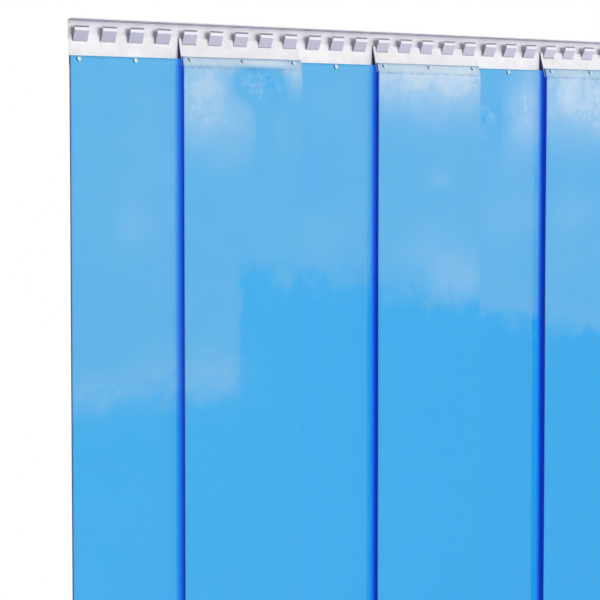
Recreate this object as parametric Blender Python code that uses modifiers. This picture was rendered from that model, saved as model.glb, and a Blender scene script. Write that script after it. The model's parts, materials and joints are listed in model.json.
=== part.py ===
"""Hook-on strip curtain for a doorway: a steel hook rail, slotted hanger plates and PVC strips.

Metres, +Z up, the front towards -Y. The origin is the middle of the rail's top face, which
is screwed up under the lintel. Inside the functions a section is drawn as (forward, height):
forward is the distance in front of the web's back face, and height is the world Z.
"""

import math

import bmesh
import bpy
from mathutils import Matrix

# Driving dimensions of the curtain
STRIPS = 6
HOOKS_PER_STRIP = 5
STRIP_WIDTH = 0.200
STRIP_THICKNESS = 0.002
STRIP_EDGE_RADIUS = 0.0006
STRIP_BEND_RADIUS = 0.008
CURTAIN_DROP = 2.000

# Gap kept between neighbouring pieces
CLEARANCE = 0.0003

# Hook rail, folded from one steel sheet
RAIL_THICKNESS = 0.0015
RAIL_HEIGHT = 0.0322
RAIL_END_LAND = 0.0055
FLANGE_DEPTH = 0.0255
FLANGE_BEND_RADIUS = 0.0015
HOOK_WIDTH = 0.0213
HOOK_BEND_RADIUS = 0.0028
HOOK_ANGLE = math.radians(29)
HOOK_FACE_HEIGHT = 0.0163
LIP_HEIGHT = 0.0033
LIP_BEND_RADIUS = 0.0018
CURL_ANGLE = math.radians(-45)
CURL_LENGTH = 0.0038

# Screw holes through the flange
SCREW_HOLES = 6
SCREW_HOLE_DIAMETER = 0.0065
SCREW_HOLE_END_DISTANCE = 0.07315

# Hanger plates
PLATE_THICKNESS = 0.0015
PLATE_BAR_HEIGHT = 0.0068
PLATE_DROP = 0.038
PLATE_CORNER_RADIUS = 0.0025
SLOT_HEIGHT = 0.0043
SLOT_SIDE_CLEARANCE = 0.001
SLOT_CORNER_RADIUS = 0.001
SLOT_END_LAND = 0.00385
STRIP_OVERLAP = 0.0159

# Blind rivets
RIVETS_PER_STRIP = 3
RIVET_END_DISTANCE = 0.0135
RIVET_EDGE_DISTANCE = 0.006
RIVET_SHANK_DIAMETER = 0.004
RIVET_HEAD_DIAMETER = 0.0076
RIVET_HEAD_HEIGHT = 0.0015
RIVET_TAIL_DIAMETER = 0.006
RIVET_TAIL_LENGTH = 0.0055
RIVET_STEM_DIAMETER = 0.0022
RIVET_STEM_DEPTH = 0.0005

# How finely arcs are drawn
ARC_STEP = math.radians(24)
SMALL_CORNER_POINTS = 3
HOLE_POINTS = 16
RIVET_STEPS = 16
RIVET_DOME_POINTS = 4
BULLNOSE_POINTS = 7
STRIP_BEND_POINTS = 6
EDGE_SEGMENTS = 2
EDGE_LEAST_ANGLE = math.radians(60)

# Length by which a cutter runs past what it cuts, and the distance for welding points
CUT_OVERRUN = 0.002
WELD = 0.00001

# Sizes that follow
SLOT_WIDTH = HOOK_WIDTH + 2 * SLOT_SIDE_CLEARANCE
HOOK_PITCH = (STRIP_WIDTH - SLOT_WIDTH - 2 * SLOT_END_LAND) / (HOOKS_PER_STRIP - 1)
HOOKS = STRIPS * (HOOKS_PER_STRIP - 1) + 1
RAIL_LENGTH = (HOOKS - 1) * HOOK_PITCH + HOOK_WIDTH + 2 * RAIL_END_LAND
WEB_BACK_Y = FLANGE_DEPTH / 2
HOOK_BEND_FORWARD = RAIL_THICKNESS + HOOK_BEND_RADIUS
HOOK_BEND_HEIGHT = -RAIL_HEIGHT + RAIL_THICKNESS + HOOK_BEND_RADIUS
STRIP_TOP_DROP = PLATE_DROP - STRIP_OVERLAP
RIVET_DROP = STRIP_TOP_DROP + RIVET_EDGE_DISTANCE
RIVET_GRIP = PLATE_THICKNESS + STRIP_THICKNESS + 3 * CLEARANCE
HINGE_DROP = PLATE_DROP + CLEARANCE + STRIP_THICKNESS / 2
HINGE_FORWARD = PLATE_THICKNESS + CLEARANCE + STRIP_THICKNESS / 2

STEEL = (0.80, 0.80, 0.83)
RIVET_STEEL = (0.88, 0.88, 0.90)
PVC_BLUE = (0.10, 0.44, 0.83)


def clear_scene():
    for obj in list(bpy.data.objects):
        bpy.data.objects.remove(obj, do_unlink=True)


def new_collection(name):
    collection = bpy.data.collections.new(name)
    bpy.context.scene.collection.children.link(collection)
    return collection


def new_material(name, colour, roughness, metallic):
    material = bpy.data.materials.new(name)
    material.use_nodes = True
    shader = material.node_tree.nodes["Principled BSDF"]
    shader.inputs["Base Color"].default_value = (*colour, 1)
    shader.inputs["Roughness"].default_value = roughness
    shader.inputs["Metallic"].default_value = metallic
    return material


def new_empty(name, location, tilt, collection):
    empty = bpy.data.objects.new(name, None)
    empty.location = location
    empty.rotation_euler = (tilt, 0, 0)
    collection.objects.link(empty)
    return empty


def mesh_object(name, mesh, collection, material=None, parent=None):
    obj = bpy.data.objects.new(name, mesh)
    collection.objects.link(obj)
    obj.parent = parent
    if material:
        mesh.materials.append(material)
    return obj


def arc(centre, radius, start, end, points):
    """Points of an arc about centre, both ends included."""
    turn = (end - start) / (points - 1)
    angles = [start + i * turn for i in range(points)]
    return [(centre[0] + radius * math.cos(a), centre[1] + radius * math.sin(a)) for a in angles]


def circle(centre, diameter):
    """Points of a full circle, the first one not repeated."""
    return arc(centre, diameter / 2, 0, 2 * math.pi, HOLE_POINTS + 1)[:-1]


def rounded_box(left, right, low, high, radius):
    """Outline of a rectangle with round corners, anticlockwise from the lower left."""
    corners = ((left, low, 1, 1), (right, low, -1, 1), (right, high, -1, -1), (left, high, 1, -1))
    outline = []
    for i, (x, z, side_x, side_z) in enumerate(corners):
        start = math.pi + i * math.pi / 2
        centre = (x + side_x * radius, z + side_z * radius)
        outline += arc(centre, radius, start, start + math.pi / 2, SMALL_CORNER_POINTS)
    return outline


def extruded(name, outlines, thickness, turn):
    """Mesh of a flat outline with its holes, thickened about its own plane and turned."""
    curve = bpy.data.curves.new(name, "CURVE")
    curve.dimensions = "2D"
    curve.fill_mode = "BOTH"
    curve.extrude = thickness / 2
    for outline in outlines:
        spline = curve.splines.new("POLY")
        spline.points.add(len(outline) - 1)
        for point, (across, up) in zip(spline.points, outline):
            point.co = (across, up, 0, 1)
        spline.use_cyclic_u = True
    guide = bpy.data.objects.new(name, curve)
    bpy.context.scene.collection.objects.link(guide)
    graph = bpy.context.evaluated_depsgraph_get()
    mesh = bpy.data.meshes.new_from_object(guide.evaluated_get(graph))
    bpy.data.objects.remove(guide, do_unlink=True)
    shape = bmesh.new()
    shape.from_mesh(mesh)
    bmesh.ops.remove_doubles(shape, verts=shape.verts, dist=WELD)
    bmesh.ops.recalc_face_normals(shape, faces=shape.faces)
    shape.to_mesh(mesh)
    shape.free()
    mesh.name = name
    mesh.transform(turn)
    return mesh


# Turns an outline of (across, up) to face the front, and one of (forward, up) to run along X
FACING_FRONT = Matrix.Rotation(math.pi / 2, 4, "X")
ALONG_RAIL = Matrix(((0, 0, -1, 0), (-1, 0, 0, 0), (0, 1, 0, 0), (0, 0, 0, 1)))


def bend(point, heading, radius, turn):
    """Points of a bend that leaves point at heading, turning left by turn, and its last heading."""
    side = math.copysign(1, turn)
    centre = (
        point[0] - side * radius * math.sin(heading),
        point[1] + side * radius * math.cos(heading),
    )
    start = heading - side * math.pi / 2
    steps = max(2, math.ceil(abs(turn) / ARC_STEP))
    return arc(centre, radius, start, start + turn, steps + 1)[1:], heading + turn


def ahead(point, heading, length):
    """The point that lies length ahead at heading."""
    return (point[0] + length * math.cos(heading), point[1] + length * math.sin(heading))


def flange_and_web_line():
    """Middle line of the sheet from the flange's front edge back, and down to the hooks' bends."""
    middle = RAIL_THICKNESS / 2
    radius = FLANGE_BEND_RADIUS + middle
    line = [(FLANGE_DEPTH, -middle), (middle + radius, -middle)]
    points, _ = bend(line[-1], math.pi, radius, math.pi / 2)
    return line + points + [(middle, HOOK_BEND_HEIGHT)]


def hook_line():
    """Middle line of a hook from the web's lower edge, up to its lip and curled tip."""
    middle = RAIL_THICKNESS / 2
    radius = HOOK_BEND_RADIUS + middle
    start = (middle, HOOK_BEND_HEIGHT)
    line, heading = bend(start, -math.pi / 2, radius, math.pi - HOOK_ANGLE)
    lip_rise = LIP_BEND_RADIUS * math.sin(HOOK_ANGLE)
    face_top = HOOK_FACE_HEIGHT - RAIL_HEIGHT
    line.append(ahead(line[-1], heading, (face_top - lip_rise - line[-1][1]) / math.sin(heading)))
    points, heading = bend(line[-1], heading, LIP_BEND_RADIUS, HOOK_ANGLE)
    line += points
    line.append(ahead(line[-1], heading, LIP_HEIGHT - lip_rise))
    points, heading = bend(line[-1], heading, LIP_BEND_RADIUS, -CURL_ANGLE)
    line += points
    line.append(ahead(line[-1], heading, CURL_LENGTH - LIP_BEND_RADIUS * math.sin(-CURL_ANGLE)))
    return line


def hook_centres():
    return [(i - (HOOKS - 1) / 2) * HOOK_PITCH for i in range(HOOKS)]


def add_row(shape, line, across):
    return [shape.verts.new((across, WEB_BACK_Y - forward, up)) for forward, up in line]


def join_rows(shape, left, right):
    for i in range(len(left) - 1):
        shape.faces.new((left[i], left[i + 1], right[i + 1], right[i]))


def rail_sheet():
    """The rail's middle surface: flange and web all along, and a hook under each centre."""
    shape = bmesh.new()
    upper, hook = flange_and_web_line(), hook_line()
    last = add_row(shape, upper, -RAIL_LENGTH / 2)
    for centre in hook_centres():
        sides = []
        for edge in (centre - HOOK_WIDTH / 2, centre + HOOK_WIDTH / 2):
            row = add_row(shape, upper, edge)
            join_rows(shape, last, row)
            sides.append([row[-1], *add_row(shape, hook, edge)])
            last = row
        join_rows(shape, *sides)
    join_rows(shape, last, add_row(shape, upper, RAIL_LENGTH / 2))
    bmesh.ops.recalc_face_normals(shape, faces=shape.faces)
    mesh = bpy.data.meshes.new("hook_rail")
    shape.to_mesh(mesh)
    shape.free()
    return mesh


def screw_hole_cutter(cutters):
    """A row of upright cylinders through the flange, midway between its edge and the web."""
    span = RAIL_LENGTH - 2 * SCREW_HOLE_END_DISTANCE
    forward = (FLANGE_DEPTH + RAIL_THICKNESS + FLANGE_BEND_RADIUS) / 2
    bpy.ops.mesh.primitive_cylinder_add(
        vertices=HOLE_POINTS,
        radius=SCREW_HOLE_DIAMETER / 2,
        depth=RAIL_THICKNESS + 2 * CUT_OVERRUN,
        location=(-span / 2, WEB_BACK_Y - forward, -RAIL_THICKNESS / 2),
    )
    cutter = bpy.context.object
    cutter.name = "screw_hole_cutter"
    cutter.hide_render = True
    cutter.display_type = "WIRE"
    for collection in list(cutter.users_collection):
        collection.objects.unlink(cutter)
    cutters.objects.link(cutter)
    array = cutter.modifiers.new("row", "ARRAY")
    array.count = SCREW_HOLES
    array.use_relative_offset = False
    array.use_constant_offset = True
    array.constant_offset_displace = (span / (SCREW_HOLES - 1), 0, 0)
    return cutter


def build_rail(collection, cutters, material):
    rail = mesh_object("hook_rail", rail_sheet(), collection, material)
    sheet = rail.modifiers.new("sheet", "SOLIDIFY")
    sheet.thickness = RAIL_THICKNESS
    sheet.offset = 0
    sheet.use_even_offset = True
    holes = rail.modifiers.new("screw_holes", "BOOLEAN")
    holes.operation = "DIFFERENCE"
    holes.object = screw_hole_cutter(cutters)
    return rail


def rivet_places():
    """Where the rivets stand across a strip, from its middle."""
    span = STRIP_WIDTH - 2 * RIVET_END_DISTANCE
    return [span * (i / (RIVETS_PER_STRIP - 1) - 1 / 2) for i in range(RIVETS_PER_STRIP)]


def rivet_holes():
    diameter = RIVET_SHANK_DIAMETER + 2 * CLEARANCE
    return [circle((across, -RIVET_DROP), diameter) for across in rivet_places()]


def plate_mesh():
    """The slotted plate, with the upper edge of its slots at height zero and its back on y = 0."""
    half = STRIP_WIDTH / 2
    outlines = [rounded_box(-half, half, -PLATE_DROP, PLATE_BAR_HEIGHT, PLATE_CORNER_RADIUS)]
    for i in range(HOOKS_PER_STRIP):
        middle = (i - (HOOKS_PER_STRIP - 1) / 2) * HOOK_PITCH
        left, right = middle - SLOT_WIDTH / 2, middle + SLOT_WIDTH / 2
        outlines.append(rounded_box(left, right, -SLOT_HEIGHT, 0, SLOT_CORNER_RADIUS))
    place = Matrix.Translation((0, -PLATE_THICKNESS / 2, 0)) @ FACING_FRONT
    return extruded("hanger_plate", outlines + rivet_holes(), PLATE_THICKNESS, place)


def strip_top_mesh():
    """The strip's riveted end, which lies on the front of the plate."""
    half = STRIP_WIDTH / 2
    outline = [(-half, -PLATE_DROP), (half, -PLATE_DROP), (half, -STRIP_TOP_DROP), (-half, -STRIP_TOP_DROP)]
    place = Matrix.Translation((0, -HINGE_FORWARD, 0)) @ FACING_FRONT
    return extruded("strip_top", [outline] + rivet_holes(), STRIP_THICKNESS, place)


def strip_line(tilt, drop):
    """Middle line of the hanging strip from its swing axis, as (forward, up, heading)."""
    line = [(0, 0, tilt)]
    if tilt:
        for i in range(1, STRIP_BEND_POINTS):
            now = tilt * (1 - i / (STRIP_BEND_POINTS - 1))
            forward = STRIP_BEND_RADIUS * (math.cos(now) - math.cos(tilt))
            down = STRIP_BEND_RADIUS * (math.sin(tilt) - math.sin(now))
            line.append((forward, -down, now))
    line.append((line[-1][0], -drop, 0))
    return line


def strip_mesh(tilt, drop):
    """The hanging strip: its line with half the thickness either side and a round top edge."""
    half = STRIP_THICKNESS / 2
    line = strip_line(tilt, drop)
    front = [(x + half * math.cos(a), z + half * math.sin(a)) for x, z, a in line]
    back = [(x - half * math.cos(a), z - half * math.sin(a)) for x, z, a in line]
    round_top = arc((0, 0), half, tilt, tilt + math.pi, BULLNOSE_POINTS)
    outline = round_top + back[1:] + front[:0:-1]
    return extruded("strip", [outline], STRIP_WIDTH, ALONG_RAIL)


def rivet_mesh():
    """A turned blind rivet with its head up, its grip starting at height zero."""
    stem = RIVET_STEM_DIAMETER / 2
    shank = RIVET_SHANK_DIAMETER / 2
    head = RIVET_HEAD_DIAMETER / 2
    tail = RIVET_TAIL_DIAMETER / 2
    tail_taper = min(tail - shank, RIVET_TAIL_LENGTH / 3)
    profile = [(0, RIVET_HEAD_HEIGHT - RIVET_STEM_DEPTH), (stem, RIVET_HEAD_HEIGHT - RIVET_STEM_DEPTH)]
    for i in range(RIVET_DOME_POINTS):
        quarter = math.pi / 2 * i / (RIVET_DOME_POINTS - 1)
        out = stem + (head - stem) * math.sin(quarter)
        profile.append((out, RIVET_HEAD_HEIGHT * math.cos(quarter)))
    profile += [(shank, 0), (shank, -RIVET_GRIP), (tail, -RIVET_GRIP - tail_taper)]
    profile += [(tail, -RIVET_GRIP - RIVET_TAIL_LENGTH + tail_taper)]
    profile += [(shank, -RIVET_GRIP - RIVET_TAIL_LENGTH), (0, -RIVET_GRIP - RIVET_TAIL_LENGTH)]
    mesh = bpy.data.meshes.new("rivet")
    shape = bmesh.new()
    verts = [shape.verts.new((radius, 0, up)) for radius, up in profile]
    for first, second in zip(verts, verts[1:]):
        shape.edges.new((first, second))
    shape.to_mesh(mesh)
    shape.free()
    return mesh


def seat_height(forward, depth):
    """Lowest height for the underside of a bar of that depth in a hook, its back at forward."""
    reach = min(0, forward - HOOK_BEND_FORWARD)
    in_bend = HOOK_BEND_HEIGHT - math.sqrt(max(0, HOOK_BEND_RADIUS**2 - reach**2)) + CLEARANCE
    return max(in_bend, face_height(forward + depth) + CLEARANCE / math.sin(HOOK_ANGLE))


def face_height(forward):
    """Height of the hook's inner face at that distance forward."""
    start = HOOK_BEND_FORWARD + HOOK_BEND_RADIUS * math.cos(HOOK_ANGLE)
    height = HOOK_BEND_HEIGHT - HOOK_BEND_RADIUS * math.sin(HOOK_ANGLE)
    return height + (forward - start) / math.tan(HOOK_ANGLE)


def front_tilt():
    """Lean of a front hanger, whose rivet tails bear on the rivet heads of the back hangers."""
    head_front = RAIL_THICKNESS + RIVET_GRIP + CLEARANCE + RIVET_HEAD_HEIGHT
    bar_front = RAIL_THICKNESS + 2 * CLEARANCE + PLATE_THICKNESS
    lever = PLATE_BAR_HEIGHT + RIVET_DROP - RIVET_TAIL_DIAMETER / 2
    stand_off = CLEARANCE + RIVET_TAIL_LENGTH
    reach = head_front + CLEARANCE - bar_front
    return math.atan2(stand_off, lever) + math.asin(reach / math.hypot(lever, stand_off))


def hanger_place(in_front):
    """(forward, height, tilt) of the back upper edge of a hanger plate's slots."""
    behind = RAIL_THICKNESS + CLEARANCE
    if not in_front:
        return behind, seat_height(behind, PLATE_THICKNESS), 0
    tilt = front_tilt()
    forward = behind + PLATE_THICKNESS + CLEARANCE + PLATE_BAR_HEIGHT * math.sin(tilt)
    toe_forward = forward + PLATE_THICKNESS * math.cos(tilt)
    height = face_height(toe_forward) + CLEARANCE / math.sin(HOOK_ANGLE)
    return forward, height - PLATE_THICKNESS * math.sin(tilt), tilt


def hinge_place(in_front):
    """(forward, height) of the line at the plate's foot about which the strip swings."""
    forward, height, tilt = hanger_place(in_front)
    along, out = HINGE_DROP, HINGE_FORWARD
    return (
        forward + along * math.sin(tilt) + out * math.cos(tilt),
        height - along * math.cos(tilt) + out * math.sin(tilt),
    )


def build_hanger(number, middle, in_front, meshes, collection, materials):
    """One hanger: plate, riveted strip end and rivets, on an empty that leans as it does."""
    forward, height, tilt = hanger_place(in_front)
    place = (middle, WEB_BACK_Y - forward, height)
    frame = new_empty(f"hanger_frame_{number}", place, -tilt, collection)
    mesh_object(f"hanger_plate_{number}", meshes["plate"].copy(), collection, materials["plate"], frame)
    mesh_object(f"strip_top_{number}", meshes["strip_top"].copy(), collection, materials["pvc"], frame)
    seat = -(PLATE_THICKNESS + 2 * CLEARANCE + STRIP_THICKNESS)
    for i, across in enumerate(rivet_places(), start=1):
        rivet = mesh_object(f"rivet_{number}_{i}", meshes["rivet"].copy(), collection, materials["rivet"], frame)
        rivet.location = (across, seat, -RIVET_DROP)
        rivet.rotation_euler = (math.pi / 2, 0, 0)
        turned = rivet.modifiers.new("turned", "SCREW")
        turned.steps = RIVET_STEPS
        turned.render_steps = RIVET_STEPS
        turned.use_merge_vertices = True
        turned.merge_threshold = WELD
        turned.use_smooth_shade = True


def build_strip(number, middle, in_front, collection, material):
    """One hanging strip, parented to an empty on the line about which it swings."""
    forward, height = hinge_place(in_front)
    tilt = hanger_place(in_front)[2]
    place = (middle, WEB_BACK_Y - forward, height)
    axis = new_empty(f"swing_axis_{number}", place, 0, collection)
    mesh = strip_mesh(tilt, CURTAIN_DROP + height)
    strip = mesh_object(f"strip_{number}", mesh, collection, material, axis)
    edges = strip.modifiers.new("round_edges", "BEVEL")
    edges.width = STRIP_EDGE_RADIUS
    edges.segments = EDGE_SEGMENTS
    edges.limit_method = "ANGLE"
    edges.angle_limit = EDGE_LEAST_ANGLE


def build_curtain():
    collection = new_collection("pvc_door_curtain")
    cutters = new_collection("cutters")
    materials = {
        "rail": new_material("rail_steel", STEEL, roughness=0.30, metallic=1),
        "plate": new_material("plate_steel", STEEL, roughness=0.35, metallic=1),
        "rivet": new_material("rivet_steel", RIVET_STEEL, roughness=0.20, metallic=1),
        "pvc": new_material("blue_pvc", PVC_BLUE, roughness=0.12, metallic=0),
    }
    build_rail(collection, cutters, materials["rail"])
    meshes = {"plate": plate_mesh(), "strip_top": strip_top_mesh(), "rivet": rivet_mesh()}
    step = (HOOKS_PER_STRIP - 1) * HOOK_PITCH
    for i in range(STRIPS):
        middle = (i - (STRIPS - 1) / 2) * step
        in_front = i % 2 == 1
        build_hanger(i + 1, middle, in_front, meshes, collection, materials)
        build_strip(i + 1, middle, in_front, collection, materials["pvc"])
    for mesh in meshes.values():
        bpy.data.meshes.remove(mesh)


clear_scene()
build_curtain()
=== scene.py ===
"""Looks of the hook-on strip curtain: bright steel, rivets and six sheets of soft blue PVC."""

import json
import math

import bpy
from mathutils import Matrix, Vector


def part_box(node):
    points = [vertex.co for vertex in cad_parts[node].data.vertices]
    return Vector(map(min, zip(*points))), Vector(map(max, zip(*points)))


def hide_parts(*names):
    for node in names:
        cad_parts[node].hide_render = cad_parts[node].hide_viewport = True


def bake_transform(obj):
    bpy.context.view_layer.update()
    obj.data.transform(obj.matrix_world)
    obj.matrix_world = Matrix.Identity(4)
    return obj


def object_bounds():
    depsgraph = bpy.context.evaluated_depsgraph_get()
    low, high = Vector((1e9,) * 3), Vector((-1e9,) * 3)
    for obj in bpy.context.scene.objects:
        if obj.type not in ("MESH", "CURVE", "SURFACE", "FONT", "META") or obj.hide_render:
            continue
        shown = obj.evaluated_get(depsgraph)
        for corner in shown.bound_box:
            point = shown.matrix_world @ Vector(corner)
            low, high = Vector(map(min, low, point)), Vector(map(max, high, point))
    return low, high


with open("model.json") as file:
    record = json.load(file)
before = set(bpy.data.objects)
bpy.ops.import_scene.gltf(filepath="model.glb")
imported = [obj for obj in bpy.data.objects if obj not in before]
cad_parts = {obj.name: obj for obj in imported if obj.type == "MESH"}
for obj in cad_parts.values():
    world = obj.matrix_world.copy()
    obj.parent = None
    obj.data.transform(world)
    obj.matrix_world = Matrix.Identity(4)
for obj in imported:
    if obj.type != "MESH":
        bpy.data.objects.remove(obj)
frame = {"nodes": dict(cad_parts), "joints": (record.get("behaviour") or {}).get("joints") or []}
CAD_BOX = [list(corner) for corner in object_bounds()]

# Photograph: 600 by 600 pixels, seen from the left and a little below the rail
IMAGE_SIDE = 600
FOCAL_PIXELS = 1332.4
CENTRE_X_PIXELS = 289.2
CENTRE_Y_PIXELS = 193.3
CAMERA_PLACE = (-1.1408, -1.8227, -0.1776)
CAMERA_YAW = math.radians(28)
CAMERA_PITCH = math.radians(-2.158)
CLIP_START = 0.05
CLIP_END = 50
SENSOR_WIDTH = 36

# Strips, numbered from the left, with every second one in front
STRIP_NUMBERS = range(1, 7)
FRONT_STRIPS = (2, 4, 6)
RIVET_NUMBERS = (1, 2, 3)
FIRST_MIDDLE = -0.4225
STRIP_SPACING = 0.169
STRIP_WIDTH = 0.200
STRIP_THICKNESS = 0.002
HALF_WIDTH = STRIP_WIDTH / 2
HALF_THICKNESS = STRIP_THICKNESS / 2
EDGE_ROUND = 0.0006
RIVETED_LENGTH = 0.0159
CREASE_RADIUS = 0.008
FRONT_TILT = math.radians(18.104)

# Grid of points on a sheet
ROW_STEP = 0.012
COLUMN_STEP = 0.0085
EDGE_MARGINS = (0.0005, 0.002, 0.006)
EDGE_ANGLES = [math.radians(angle) for angle in (30, 60, 90)]
RIVETED_ROWS = 4
CREASE_ROWS = 6

# Waves of a hanging strip: the weights of the three, how far they move on from strip to strip,
# and the length below the rivets over which they grow
WAVE_HEIGHT = 0.0011
WAVE_WEIGHTS = (1.0, 0.6, 0.5)
WAVE_SHIFT = 1.7
WAVE_GROWTH = 0.35

# Darkness of the cut edges, of the front face's first points and of the right edge's front rounding:
# the cut edges' own deep blue, with painted shade on the left, away from the light
CUT_EDGE = 1.0
LEFT_FACE_EDGE = (1.0, 0.55)
RIGHT_FRONT_EDGE = 0.35

# Painted shade along the bend of the front strips: distance below the rivets, and reach
CREASE_SHADE = (0.001, 0.0012)

# Where a back strip gets painted shade, deep blue, and a painted glow beside and behind the front
# strip on its right
OVERLAP_SHADE_ZONE = (0.062, 0.080)

# How far the pattern of the PVC moves on from strip to strip
PATTERN_SHIFT = 0.37

# Lower edge of the painted sky reflection on the upper part of each strip, as (across, down from the
# top) points
REFLECTION_EDGE = {
    1: ((-0.10, 0.515), (0.0, 0.505), (0.10, 0.510)),
    2: ((-0.10, 0.330), (0.0, 0.325), (0.10, 0.345)),
    3: ((-0.10, 0.345), (0.0, 0.355), (0.10, 0.368)),
    4: ((-0.10, 0.372), (0.0, 0.388), (0.10, 0.402)),
    5: ((-0.10, 0.415), (0.0, 0.430), (0.10, 0.445)),
    6: ((-0.10, 0.450), (0.0, 0.462), (0.10, 0.470)),
}

# Longer painted sky reflection on part of a strip: (strip, its right edge across, lower edge down,
# softness)
LONG_REFLECTION = (2, -0.006, 0.512, 4.0)

# Patches of painted cloud reflection on each strip, and clear patches, whose strength is below
# nought, as (across, down, reach across, reach down, strength)
SHEEN_PATCHES = {
    1: (
        (-0.06, 0.490, 0.050, 0.030, 0.22),
        (0.03, 0.470, 0.050, 0.040, 0.14),
        (0.00, 0.250, 0.030, 0.030, 0.09),
        (0.03, 0.200, 0.060, 0.140, 0.06),
    ),
    2: (
        (-0.070, 0.030, 0.060, 0.070, 0.74),
        (-0.020, 0.007, 0.150, 0.010, 0.62),
        (0.035, 0.007, 0.045, 0.009, 1.20),
        (0.020, 0.100, 0.060, 0.050, 0.10),
        (0.085, 0.026, 0.024, 0.026, 0.66),
        (-0.040, 0.100, 0.060, 0.060, 0.20),
        (0.026, 0.036, 0.040, 0.026, -1.05),
        (0.034, 0.110, 0.014, 0.070, -0.34),
        (-0.060, 0.480, 0.050, 0.035, 0.22),
    ),
    3: ((-0.04, 0.270, 0.050, 0.040, 0.08), (0.00, 0.060, 0.050, 0.060, 0.05)),
    4: (
        (-0.040, 0.015, 0.120, 0.050, 0.95),
        (-0.030, 0.008, 0.110, 0.012, 0.32),
        (0.080, 0.008, 0.050, 0.012, 0.30),
        (0.070, 0.020, 0.050, 0.035, 0.55),
        (0.030, 0.060, 0.100, 0.050, 0.22),
        (0.055, 0.345, 0.050, 0.032, 0.36),
        (0.000, 0.300, 0.050, 0.035, 0.14),
        (0.020, 0.185, 0.020, 0.012, 0.18),
    ),
    5: (
        (0.045, 0.060, 0.034, 0.070, 0.58),
        (-0.046, 0.090, 0.022, 0.050, -0.62),
        (0.010, 0.100, 0.030, 0.070, 0.14),
        (0.020, 0.250, 0.080, 0.030, 0.10),
    ),
    6: (
        (-0.040, 0.030, 0.100, 0.068, 0.92),
        (0.000, 0.008, 0.200, 0.012, 0.22),
        (0.060, 0.060, 0.080, 0.060, 0.50),
        (-0.030, 0.250, 0.050, 0.035, 0.12),
    ),
}

# Colours, as linear red, green and blue
WHITE = (1, 1, 1)
PVC_CLEAR = (0.032, 0.430, 0.832)
# Right-end colours: painted shade makes the PVC a little darker towards the curtain's right end
PVC_CLEAR_FAR = (0.010, 0.374, 0.785)
# Painted sky reflection on the strips' upper parts
PVC_REFLECTION = (0.092, 0.455, 0.800)
PVC_REFLECTION_FAR = (0.106, 0.438, 0.775)
# Painted cloud reflection on the strips, as whitish patches and wisps
PVC_SHEEN = (0.510, 0.675, 0.825)
PVC_WHITE_SHEEN = (0.76, 0.86, 0.95)
# Painted shade along the bend of the front strips
PVC_CREASE_SHADE = (0.05, 0.24, 0.50)
# Cut edges' own deep blue, with painted shade where they face away from the light
PVC_EDGE_AND_SHADE = (0.004, 0.045, 0.340)
# Painted shade of a front strip on the back strip beside and behind it
PVC_OVERLAP_SHADE = (0.005, 0.110, 0.950)
# Painted light coming through a front strip onto the back strip beside it, given off as a glow
PVC_GLOW = (0.030, 0.155, 0.88)
RAIL_STEEL = (0.86, 0.85, 0.88)
# Painted shade, highlight and dark reflection on the hooks, by the way their faces turn
HOOK_SHADE_STEEL = (0.65, 0.63, 0.77)
LIP_HIGHLIGHT_STEEL = (0.90, 0.88, 0.94)
TIP_SHADE_STEEL = (0.42, 0.41, 0.47)
PLATE_STEEL = (0.93, 0.92, 0.94)
# Painted light: the front plates' steel is a little lighter than the back plates'
FRONT_PLATE_STEEL = (0.95, 0.94, 0.96)
# Painted shade on the back plates, where a front plate covers them
COVERED_SHADE = (0.13, 0.10, 0.24)
RIVET_STEEL = (0.76, 0.90, 1.00)
# Painted shade on the rivet domes
RIVET_SHADE = (0.015, 0.045, 0.110)
FLOOR_COLOUR = (0.78, 0.78, 0.85)
FLOOR_LIGHT = (0.8034, 0.8034, 0.8755)

# Noises: scale, detail, roughness and distortion
CLOUD = (22.0, 6.0, 0.62, 0.6)
WISPS = (60.0, 5.0, 0.6, 1.2)
WISP_STRETCH = (1.0, 0.45, 1.0)
SHREDS = (40.0, 6.0, 0.70, 0.5)
BROAD = (7.0, 3.0, 0.55, 0.0)
RIPPLE = (14.0, 2.0, 0.55, 0.0)
GRAIN = (1.0, 3.0, 0.55, 0.0)
GRAIN_STRETCH = (6.0, 900.0, 900.0)
MARKS = (35.0, 5.0, 0.6, 0.0)
MOTTLE = (3.0, 4.0, 0.55, 0.0)

# Steps of the PVC's material: from, to, and the results at both where they aren't 0 and 1
REFLECTION_RAGGED = 0.16
REFLECTION_FADE = (-0.020, 0.040)
REFLECTION_UNEVEN = (0.25, 0.75, 0.80, 1.15)
PATCH_TEAR = (0.30, 0.70, 0.30, 1.70)
PATCH_RANGE = (-0.62, -0.10, 1.0, 0.0)
PATCH_SHEEN = 0.22
SHRED_RANGE = (0.38, 0.64)
SHEEN_CLOUD = (0.30, 0.70, 0.62, 1.12)
SHEEN_WISPS = (0.25, 0.70, 0.86, 1.04)
WHITE_SHEEN = (0.95, 1.75)
WHITE_WISPS = (0.30, 0.65, 0.70, 1.0)
CREASE_SHADE_WISPS = (0.40, 0.62, 0.10, 0.55)
OVERLAP_SHADE_RANGE = (0.20, 0.92)
GLOW_RISE = (0.08, 0.36)
GLOW_FALL = (0.40, 0.82, 1.0, 0.15)
GLOW_STRENGTH = 0.53

# Gloss, inner light and ripples of the PVC
PVC_ROUGHNESS = (0.30, 0.70, 0.09, 0.17)
SHEEN_ROUGHNESS = 0.22
EDGE_ROUGHNESS = 0.55
PVC_IOR = 1.53
PVC_SCATTER = 0.25
PVC_SCATTER_RADIUS = (0.15, 0.45, 1.0)
PVC_SCATTER_SCALE = 0.003
WISP_HEIGHT = 0.04
PVC_BUMP = (0.25, 0.002)

# Steel: its marks, how much darker they are, and the bump of its grain
MARK_RANGE = (0.35, 0.75)
MARK_SHADE = 0.895
GRAIN_BUMP = (0.15, 0.0002)

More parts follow.
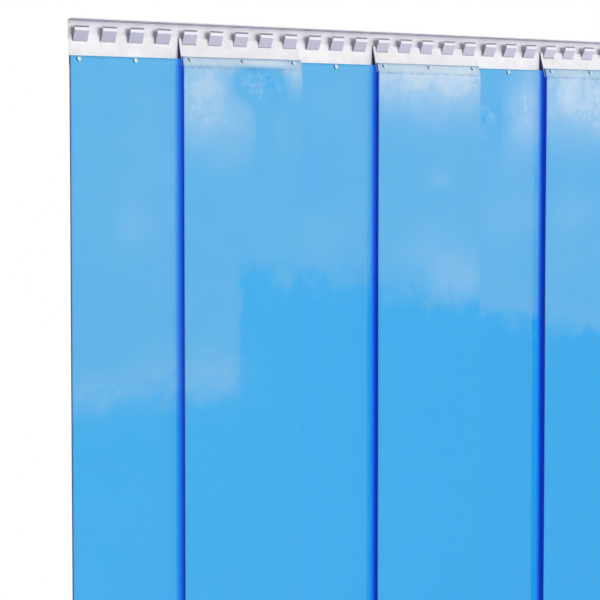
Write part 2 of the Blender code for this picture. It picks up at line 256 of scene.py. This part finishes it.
# Hooks, where shade and a highlight are painted: faces that look down or up, below the flange and
# before the web, from nought to one
LOOKS_DOWN = (-0.30, -0.45)
LOOKS_UP = (0.15, 0.45)
BELOW_FLANGE = (-0.0040, -0.0060)
BEFORE_WEB = (0.0080, 0.0060)

# Back plates: the limits of X that fold onto the first of them, and where a front plate covers it,
# which gets painted shade
BACK_REPEAT = (FIRST_MIDDLE + STRIP_SPACING, FIRST_MIDDLE - STRIP_SPACING)
COVERED_ZONE = (FIRST_MIDDLE + 0.0670, FIRST_MIDDLE + 0.0690)

# Rivets: the side of the dome that gets painted shade, and how far it has to turn there
RIVET_DARK_SIDE = (-0.92, 0.0, -0.39)
RIVET_DARK_TURN = (0.12, 0.40)

# Floor: a disc that fades to white at its rim, from and to these shares of its radius
FLOOR_RADIUS = 2.6
FLOOR_GAP = 0.004
FLOOR_POINTS = 96
FLOOR_ROUGHNESS = 0.75
FLOOR_FADE = (FLOOR_RADIUS * 0.40, FLOOR_RADIUS * 0.98, 0.40, 1.0)

# Lamps: place, target, size, power and whether the surfaces mirror it
LAMPS = {
    "key": ((1.15, -7.0, 0.42), (0, 0, -0.4), 3.0, 392, False),
    "back_fill": ((0.8, 3.6, 0.6), (0, 0, -0.8), 2.4, 60, True),
}

# Mirrored sky: from and to this sine of elevation, and its strength at both
SKY_RANGE = (0.15, 0.75, 1.0, 0.25)

# Soft light of the room: from and to this share towards +X, and its strength at both
ROOM_RANGE = (-0.7, 0.6, 0.18, 0.46)


def ramp(low, high, value):
    return min(1, max(0, (value - low) / (high - low)))


def smooth_step(low, high, value):
    share = ramp(low, high, value)
    return share * share * (3 - 2 * share)


def along(points, value):
    """Height of a line through points at value."""
    if value <= points[0][0]:
        return points[0][1]
    for (x0, y0), (x1, y1) in zip(points, points[1:]):
        if value <= x1:
            return y0 + (y1 - y0) * (value - x0) / (x1 - x0)
    return points[-1][1]


class Nodes:
    """Builds a node tree with short calls."""

    def __init__(self, tree):
        self.tree = tree

    def add(self, kind, inputs=None, **settings):
        node = self.tree.nodes.new(kind)
        for key, value in settings.items():
            setattr(node, key, value)
        for key, value in (inputs or {}).items():
            self.set(node.inputs[key], value)
        return node

    def set(self, socket, value):
        if isinstance(value, bpy.types.NodeSocket):
            self.tree.links.new(value, socket)
        else:
            socket.default_value = value

    def math(self, operation, first, second, clamp=False):
        node = self.add("ShaderNodeMath", {0: first, 1: second}, operation=operation, use_clamp=clamp)
        return node.outputs[0]

    def steps(self, value, low, high, out_low=0.0, out_high=1.0, kind="SMOOTHSTEP"):
        inputs = {
            "Value": value, "From Min": low, "From Max": high,
            "To Min": out_low, "To Max": out_high,
        }
        return self.add("ShaderNodeMapRange", inputs, interpolation_type=kind).outputs["Result"]

    def axis(self, vector, name):
        return self.add("ShaderNodeSeparateXYZ", {0: vector}).outputs[name]

    def blend_shaders(self, factor, first, second):
        return self.add("ShaderNodeMixShader", {"Fac": factor, 1: first, 2: second}).outputs[0]


class Material(Nodes):
    """Node tree of a new material, round its one shader."""

    def __init__(self, name):
        self.material = bpy.data.materials.new(name)
        self.material.use_nodes = True
        super().__init__(self.material.node_tree)
        self.shader = self.tree.nodes["Principled BSDF"]

    def look(self, name, value):
        self.set(self.shader.inputs[name], value)

    def base_colour(self):
        """Socket that gives the shader its colour so far."""
        return self.shader.inputs["Base Color"].links[0].from_socket

    def coordinate(self, name):
        return self.add("ShaderNodeTexCoord").outputs[name]

    def attribute(self, name, output="Fac"):
        return self.add("ShaderNodeAttribute", attribute_name=name).outputs[output]

    def noise(self, vector, scale, detail, roughness, distortion):
        inputs = {
            "Vector": vector, "Scale": scale, "Detail": detail,
            "Roughness": roughness, "Distortion": distortion,
        }
        return self.add("ShaderNodeTexNoise", inputs).outputs["Fac"]

    def scaled(self, vector, scale):
        return self.add("ShaderNodeMapping", {"Vector": vector, "Scale": scale}).outputs["Vector"]

    def mix(self, factor, first, second):
        node = self.add("ShaderNodeMix", data_type="RGBA")
        self.set(node.inputs["Factor"], factor)
        for key, value in (("A", first), ("B", second)):
            socket = next(s for s in node.inputs if s.name == key and s.type == "RGBA")
            self.set(socket, value if isinstance(value, bpy.types.NodeSocket) else (*value, 1))
        return next(s for s in node.outputs if s.type == "RGBA")

    def bump(self, height, strength, distance):
        inputs = {"Height": height, "Strength": strength, "Distance": distance}
        self.look("Normal", self.add("ShaderNodeBump", inputs).outputs["Normal"])


def reflection_cover(n, place, cloud, bare):
    """Painted sky reflection, whitish: ragged along its lower edge, uneven above it and missing where
    it is bare.
    """
    ragged = n.math("MULTIPLY", n.math("SUBTRACT", cloud, 0.5), REFLECTION_RAGGED)
    reflected = n.steps(n.math("ADD", n.attribute("reflection_depth"), ragged), *REFLECTION_FADE)
    reflected = n.math("MULTIPLY", reflected, n.steps(n.noise(place, *BROAD), *REFLECTION_UNEVEN))
    return n.math("MULTIPLY", reflected, n.math("SUBTRACT", 1.0, bare))


def pvc_material():
    n = Material("blue_pvc")
    place = n.attribute("strip_place", "Vector")
    sheen = n.attribute("sheen")
    edge = n.attribute("cut_edge_and_shade")
    overlap_shade_and_glow = n.attribute("overlap_shade_and_glow")
    far = n.attribute("far_shade")
    cloud = n.noise(place, *CLOUD)
    wisps = n.noise(n.scaled(place, WISP_STRETCH), *WISPS)

    patch = n.steps(n.math("MULTIPLY", sheen, n.steps(cloud, *PATCH_TEAR)), *PATCH_RANGE)
    shreds = n.steps(n.noise(place, *SHREDS), *SHRED_RANGE)
    reflected = reflection_cover(n, place, cloud, n.math("MULTIPLY", patch, n.math("SUBTRACT", 1.0, shreds)))
    # Painted cloud reflection: whitish patches and wisps in the colour
    sheen_cover = n.math("MULTIPLY", sheen, n.steps(cloud, *SHEEN_CLOUD))
    sheen_cover = n.math("MULTIPLY", sheen_cover, n.steps(wisps, *SHEEN_WISPS), clamp=True)
    torn = n.math("MULTIPLY", n.math("MULTIPLY", patch, shreds), PATCH_SHEEN)
    sheen_cover = n.math("ADD", sheen_cover, torn)
    white = n.math("MULTIPLY", n.steps(sheen, *WHITE_SHEEN), n.steps(wisps, *WHITE_WISPS))
    # Painted shade along the bend of the front strips, broken up by the wisps
    crease_shade = n.math("MULTIPLY", n.attribute("crease_shade"), n.steps(wisps, *CREASE_SHADE_WISPS))

    # Painted shade: the PVC a little darker towards the curtain's right end
    clear = n.mix(far, PVC_CLEAR, PVC_CLEAR_FAR)
    # Painted sky reflection whitens the upper part of each strip
    colour = n.mix(reflected, clear, n.mix(far, PVC_REFLECTION, PVC_REFLECTION_FAR))
    colour = n.mix(sheen_cover, colour, PVC_SHEEN)
    colour = n.mix(white, colour, PVC_WHITE_SHEEN)
    colour = n.mix(crease_shade, colour, PVC_CREASE_SHADE)
    # Painted shade of the front strip on the back strip beside and behind it, in deep blue
    colour = n.mix(n.steps(overlap_shade_and_glow, *OVERLAP_SHADE_RANGE), colour, PVC_OVERLAP_SHADE)
    # Cut edges in their own deep blue, with painted shade on the left edges and the face points
    # beside them
    n.look("Base Color", n.mix(edge, colour, PVC_EDGE_AND_SHADE))

    # Painted light that comes through the front strip, given off as a glow in the same band
    glow = n.math("MULTIPLY", n.steps(overlap_shade_and_glow, *GLOW_RISE), n.steps(overlap_shade_and_glow, *GLOW_FALL))
    n.look("Emission Color", (*PVC_GLOW, 1))
    n.look("Emission Strength", n.math("MULTIPLY", glow, GLOW_STRENGTH))

    rough = n.steps(cloud, *PVC_ROUGHNESS)
    rough = n.math("ADD", rough, n.math("MULTIPLY", sheen_cover, SHEEN_ROUGHNESS))
    n.look("Roughness", n.math("ADD", rough, n.math("MULTIPLY", edge, EDGE_ROUGHNESS)))
    n.look("IOR", PVC_IOR)
    n.look("Subsurface Weight", PVC_SCATTER)
    n.look("Subsurface Radius", PVC_SCATTER_RADIUS)
    n.look("Subsurface Scale", PVC_SCATTER_SCALE)
    ripple = n.noise(place, *RIPPLE)
    n.bump(n.math("ADD", ripple, n.math("MULTIPLY", wisps, WISP_HEIGHT)), *PVC_BUMP)
    return n.material


def steel(name, colour, roughness, metallic, streak=0.10):
    """Steel with a grain along X and faint marks, whose colour can still be mixed further."""
    n = Material(name)
    place = n.coordinate("Object")
    grain = n.noise(n.scaled(place, GRAIN_STRETCH), *GRAIN)
    marks = n.noise(place, *MARKS)
    darker = tuple(c * MARK_SHADE for c in colour)
    n.look("Base Color", n.mix(n.steps(marks, *MARK_RANGE), colour, darker))
    n.look("Metallic", metallic)
    rough = n.math("ADD", roughness - streak / 2, n.math("MULTIPLY", grain, streak))
    n.look("Roughness", n.math("ADD", rough, n.math("MULTIPLY", marks, streak)))
    n.bump(grain, *GRAIN_BUMP)
    return n


def rail_material():
    """Rail steel: painted shade on hook faces that look down, a painted highlight on their lips and
    painted dark reflection on the curled tips.
    """
    n = steel("rail_steel", RAIL_STEEL, roughness=0.36, metallic=0.35)
    place, normal = n.coordinate("Object"), n.coordinate("Normal")
    looks_down = n.steps(n.axis(normal, "Z"), *LOOKS_DOWN)
    looks_up = n.steps(n.axis(normal, "Z"), *LOOKS_UP)
    level = n.math("SUBTRACT", n.math("SUBTRACT", 1.0, looks_down), looks_up, clamp=True)
    below_flange = n.steps(n.axis(place, "Z"), *BELOW_FLANGE)
    on_hook = n.math("MULTIPLY", below_flange, n.steps(n.axis(place, "Y"), *BEFORE_WEB))
    # Painted shade on hook faces that look down, a painted highlight on level faces and painted dark
    # reflection on those that look up
    colour = n.mix(looks_down, n.base_colour(), HOOK_SHADE_STEEL)
    colour = n.mix(n.math("MULTIPLY", level, on_hook), colour, LIP_HIGHLIGHT_STEEL)
    n.look("Base Color", n.mix(n.math("MULTIPLY", looks_up, on_hook), colour, TIP_SHADE_STEEL))
    return n.material


def back_plate_material():
    """Plate steel, with painted shade where a front plate covers the right end of each back plate."""
    n = steel("back_plate_steel", PLATE_STEEL, roughness=0.40, metallic=0.3)
    x = n.axis(n.coordinate("Object"), "X")
    across = n.add(
        "ShaderNodeMath", {0: x, 1: BACK_REPEAT[0], 2: BACK_REPEAT[1]}, operation="WRAP"
    ).outputs[0]
    covered = n.steps(across, *COVERED_ZONE)
    n.look("Base Color", n.mix(covered, n.base_colour(), COVERED_SHADE))
    return n.material


def front_plate_material():
    # Painted light: a lighter copy of the plate steel
    return steel("front_plate_steel", FRONT_PLATE_STEEL, roughness=0.40, metallic=0.1).material


def rivet_material():
    """Polished steel, with painted shade where the dome turns down to the left and in the stem's
    hollow.
    """
    n = steel("rivet_steel", RIVET_STEEL, roughness=0.20, metallic=0.35, streak=0.04)
    sides = {0: n.coordinate("Normal"), 1: RIVET_DARK_SIDE}
    turned = n.add("ShaderNodeVectorMath", sides, operation="DOT_PRODUCT").outputs["Value"]
    dark = n.steps(turned, *RIVET_DARK_TURN)
    n.look("Base Color", n.mix(dark, n.base_colour(), RIVET_SHADE))
    return n.material


def floor_material():
    """Pale floor that fades to plain white at its rim, for the camera alone."""
    n = Material("floor")
    place = n.coordinate("Object")
    n.look("Base Color", n.mix(n.noise(place, *MOTTLE), FLOOR_COLOUR, FLOOR_LIGHT))
    n.look("Roughness", FLOOR_ROUGHNESS)
    length = n.add("ShaderNodeVectorMath", {0: place}, operation="LENGTH").outputs["Value"]
    seen = n.add("ShaderNodeLightPath").outputs["Is Camera Ray"]
    fade = n.math("MULTIPLY", n.steps(length, *FLOOR_FADE), seen)
    white = n.add("ShaderNodeEmission", {"Color": (*WHITE, 1), "Strength": 1.0})
    surface = n.blend_shaders(fade, n.shader.outputs[0], white.outputs[0])
    n.set(n.tree.nodes["Material Output"].inputs["Surface"], surface)
    return n.material


def swing_joint(number):
    return next(joint for joint in frame["joints"] if joint["name"] == f"swing_strip_{number}")


def columns():
    """Places across a strip: close together at its edges, evenly spaced between them."""
    inner = HALF_WIDTH - EDGE_ROUND - EDGE_MARGINS[-1]
    count = round(2 * inner / COLUMN_STEP)
    middle = [inner * (2 * i / count - 1) for i in range(count + 1)]
    side = [HALF_WIDTH - EDGE_ROUND - margin for margin in (0, *EDGE_MARGINS[:-1])]
    return [-x for x in side] + middle + side[::-1]


def rounded_edge(side, first_face, first_dark, second_dark):
    """Points round one long edge of a strip, from its first face to the other."""
    turns = [(first_face, first_dark, angle) for angle in EDGE_ANGLES]
    turns += [(-first_face, second_dark, angle) for angle in EDGE_ANGLES[::-1]]
    return [
        (
            side * (HALF_WIDTH - EDGE_ROUND + EDGE_ROUND * math.sin(angle)),
            face * (HALF_THICKNESS - EDGE_ROUND + EDGE_ROUND * math.cos(angle)),
            dark,
        )
        for face, dark, angle in turns
    ]


def cross_section():
    """Front face, right edge, back face and left edge as (across, out, darkness) points."""
    places = columns()
    front = [(x, HALF_THICKNESS, 0.0) for x in places]
    for i, dark in enumerate(LEFT_FACE_EDGE):
        front[i] = (places[i], HALF_THICKNESS, dark)
    right = rounded_edge(1, 1, RIGHT_FRONT_EDGE, CUT_EDGE)
    back = [(x, -HALF_THICKNESS, 0.0) for x in places[::-1]]
    left = rounded_edge(-1, -1, CUT_EDGE, CUT_EDGE)
    return front, right, back, left


def strip_profile(number):
    """Middle line of a strip from its top edge: (down along it, forward, height, heading)."""
    foot = swing_joint(number)["pos_m"]
    tilt = FRONT_TILT if number in FRONT_STRIPS else 0.0
    line = []
    for i in range(RIVETED_ROWS + 1):
        above = RIVETED_LENGTH * (1 - i / RIVETED_ROWS)
        forward = -foot[1] - math.sin(tilt) * above
        line.append((RIVETED_LENGTH - above, forward, foot[2] + math.cos(tilt) * above, tilt))
    down, forward, height, heading = line[-1]
    if tilt:
        for i in range(1, CREASE_ROWS + 1):
            following = tilt * (1 - i / CREASE_ROWS)
            step = CREASE_RADIUS * (heading - following)
            between = (heading + following) / 2
            down += step
            forward += step * math.sin(between)
            height -= step * math.cos(between)
            heading = following
            line.append((down, forward, height, heading))
    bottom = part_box(f"strip_{number}")[0].z
    rows = math.ceil((height - bottom) / ROW_STEP)
    for i in range(1, rows + 1):
        drop = (height - bottom) * (i / rows)
        line.append((down + drop, forward, height - drop, 0.0))
    return line


def wave(number, across, down):
    """Slow, shallow undulation of a hanging strip, in radians a metre, none at its rivets."""
    free = smooth_step(RIVETED_LENGTH, RIVETED_LENGTH + WAVE_GROWTH, down)
    phase = WAVE_SHIFT * number
    waves = (
        math.sin(4.1 * down + phase) * math.cos(11 * across + 0.8 * phase),
        math.sin(7.3 * down - 2.1 * phase + 9 * across),
        math.sin(2.3 * down + 3.0 * phase) * math.sin(21 * across + phase),
    )
    total = sum(weight * height for weight, height in zip(WAVE_WEIGHTS, waves))
    return free * WAVE_HEIGHT * total / sum(WAVE_WEIGHTS)


def reflection_depth_at(number, across, down):
    """Distance above the lower edge of the painted sky reflection."""
    depth = along(REFLECTION_EDGE[number], across) - down
    strip, right_edge, lower_edge, softness = LONG_REFLECTION
    if number == strip:
        depth = max(depth, min(lower_edge - down, (right_edge - across) * softness))
    return depth


# Strength of the painted cloud reflection at a point
def sheen_at(number, across, down):
    total = 0
    for x, z, reach_x, reach_z, strength in SHEEN_PATCHES[number]:
        total += strength * math.exp(-(((across - x) / reach_x) ** 2) - ((down - z) / reach_z) ** 2)
    return total


# Strength of the painted shade along the bend
def crease_shade_at(number, down):
    if number not in FRONT_STRIPS:
        return 0.0
    below, reach = CREASE_SHADE
    return math.exp(-(((down - RIVETED_LENGTH - below) / reach) ** 2))


# Share across the band of painted shade and glow on a back strip's front face
def overlap_shade_and_glow_at(number, across, out):
    if number in FRONT_STRIPS or out <= 0:
        return 0.0
    return ramp(*OVERLAP_SHADE_ZONE, across)


def sheet_points(number, line, section):
    """Points of a sheet, row by row, and the values of its attributes at them."""
    low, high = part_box(f"strip_{number}")
    middle = (low.x + high.x) / 2
    left, right = CAD_BOX[0][0], CAD_BOX[1][0]
    points, places = [], []
    values = {
        "reflection_depth": [], "sheen": [], "cut_edge_and_shade": [],
        "crease_shade": [], "overlap_shade_and_glow": [], "far_shade": [],
    }
    for down, forward, height, heading in line:
        for across, out, dark in section:
            ahead = forward + wave(number, across, down) + out * math.cos(heading)
            points.append((middle + across, -ahead, height + out * math.sin(heading)))
            places.append((across + number * PATTERN_SHIFT, down, out))
            values["reflection_depth"].append(reflection_depth_at(number, across, down))
            values["sheen"].append(sheen_at(number, across, down))
            values["cut_edge_and_shade"].append(dark)
            values["crease_shade"].append(crease_shade_at(number, down))
            values["overlap_shade_and_glow"].append(overlap_shade_and_glow_at(number, across, out))
            # Share of the way to the right end, for the painted shade across the curtain
            values["far_shade"].append((middle + across - left) / (right - left))
    return points, places, values


def end_faces(ring, wide, side):
    """Faces that close the top of a sheet, between two faces wide points across."""
    front = ring[:wide]
    right = ring[wide:wide + side]
    back = ring[wide + side:2 * wide + side]
    left = ring[2 * wide + side:]
    faces = [
        (front[i], front[i + 1], back[wide - 2 - i], back[wide - 1 - i])
        for i in range(wide - 1)
    ]
    return faces + [(front[-1], *right, back[0]), (back[-1], *left, front[0])]


def sheet_faces(rows, wide, side):
    """Quads down a sheet and both its ends, for faces wide and edges side points across."""
    size = 2 * (wide + side)
    rings = [range(row * size, (row + 1) * size) for row in range(rows)]
    faces = []
    for upper, lower in zip(rings, rings[1:]):
        for i in range(size):
            j = (i + 1) % size
            faces.append((upper[j], upper[i], lower[i], lower[j]))
    faces += end_faces(rings[0], wide, side)
    faces += [face[::-1] for face in end_faces(rings[-1], wide, side)]
    return faces


def build_sheet(number, material):
    line = strip_profile(number)
    front, right, back, left = cross_section()
    points, places, values = sheet_points(number, line, front + right + back + left)
    mesh = bpy.data.meshes.new(f"pvc_sheet_{number}")
    mesh.from_pydata(points, [], sheet_faces(len(line), len(front), len(right)))
    mesh.validate()
    for polygon in mesh.polygons:
        polygon.use_smooth = True
    attribute = mesh.attributes.new("strip_place", "FLOAT_VECTOR", "POINT")
    attribute.data.foreach_set("vector", [c for place in places for c in place])
    for name, numbers in values.items():
        mesh.attributes.new(name, "FLOAT", "POINT").data.foreach_set("value", numbers)
    mesh.materials.append(material)
    sheet = bpy.data.objects.new(f"pvc_sheet_{number}", mesh)
    bpy.context.scene.collection.objects.link(sheet)
    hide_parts(f"strip_top_{number}", f"strip_{number}")
    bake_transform(sheet)


def assign(node, material):
    obj = frame["nodes"][node]
    for slot in obj.material_slots:
        slot.material = material
    if not obj.material_slots:
        obj.data.materials.append(material)


def dress_steel():
    back_plate = back_plate_material()
    front_plate = front_plate_material()
    rivet = rivet_material()
    assign("hook_rail", rail_material())
    for number in STRIP_NUMBERS:
        assign(f"hanger_plate_{number}", front_plate if number in FRONT_STRIPS else back_plate)
        for i in RIVET_NUMBERS:
            assign(f"rivet_{number}_{i}", rivet)


def build_floor():
    turns = [2 * math.pi * i / FLOOR_POINTS for i in range(FLOOR_POINTS)]
    rim = [(FLOOR_RADIUS * math.cos(turn), FLOOR_RADIUS * math.sin(turn), 0) for turn in turns]
    mesh = bpy.data.meshes.new("floor")
    mesh.from_pydata(rim, [], [tuple(range(FLOOR_POINTS))])
    mesh.materials.append(floor_material())
    floor = bpy.data.objects.new("floor", mesh)
    floor.location = (0, 0, CAD_BOX[0][2] - FLOOR_GAP)
    bpy.context.scene.collection.objects.link(floor)


def add_lamps():
    for name, (place, target, size, power, mirrored) in LAMPS.items():
        lamp = bpy.data.lights.new(name, "AREA")
        lamp.shape = "SQUARE"
        lamp.size = size
        lamp.energy = power
        obj = bpy.data.objects.new(name, lamp)
        obj.location = place
        obj.rotation_euler = (Vector(target) - Vector(place)).to_track_quat("-Z", "Y").to_euler()
        obj.visible_glossy = mirrored
        bpy.context.scene.collection.objects.link(obj)


def build_world():
    """Soft light stronger on the right, a mirrored sky, and plain white for the camera."""
    world = bpy.data.worlds.new("studio")
    bpy.context.scene.world = world
    world.use_nodes = True
    n = Nodes(world.node_tree)
    n.tree.nodes.clear()
    direction = n.add("ShaderNodeTexCoord").outputs["Generated"]
    sky = n.steps(n.axis(direction, "Z"), *SKY_RANGE)
    room = n.steps(n.axis(direction, "X"), *ROOM_RANGE, kind="LINEAR")
    soft, mirrored, white = (
        n.add("ShaderNodeBackground", {"Color": (*WHITE, 1), "Strength": strength}).outputs[0]
        for strength in (n.math("MULTIPLY", room, sky), sky, 1.0)
    )
    rays = n.add("ShaderNodeLightPath").outputs
    seen = n.math("MAXIMUM", rays["Is Camera Ray"], rays["Is Transmission Ray"])
    light = n.blend_shaders(rays["Is Glossy Ray"], soft, mirrored)
    n.add("ShaderNodeOutputWorld", {"Surface": n.blend_shaders(seen, light, white)})


def add_camera():
    camera = bpy.data.cameras.new("camera")
    camera.sensor_width = SENSOR_WIDTH
    camera.lens = FOCAL_PIXELS / IMAGE_SIDE * SENSOR_WIDTH
    camera.shift_x = (IMAGE_SIDE / 2 - CENTRE_X_PIXELS) / IMAGE_SIDE
    camera.shift_y = (CENTRE_Y_PIXELS - IMAGE_SIDE / 2) / IMAGE_SIDE
    camera.clip_start = CLIP_START
    camera.clip_end = CLIP_END
    obj = bpy.data.objects.new("camera", camera)
    obj.location = CAMERA_PLACE
    obj.rotation_euler = (math.pi / 2 + CAMERA_PITCH, 0, -CAMERA_YAW)
    bpy.context.scene.collection.objects.link(obj)
    bpy.context.scene.camera = obj


bpy.context.scene.view_settings.view_transform = "Standard"
add_camera()
build_world()
add_lamps()
build_floor()
dress_steel()
pvc = pvc_material()
for strip_number in STRIP_NUMBERS:
    build_sheet(strip_number, pvc)
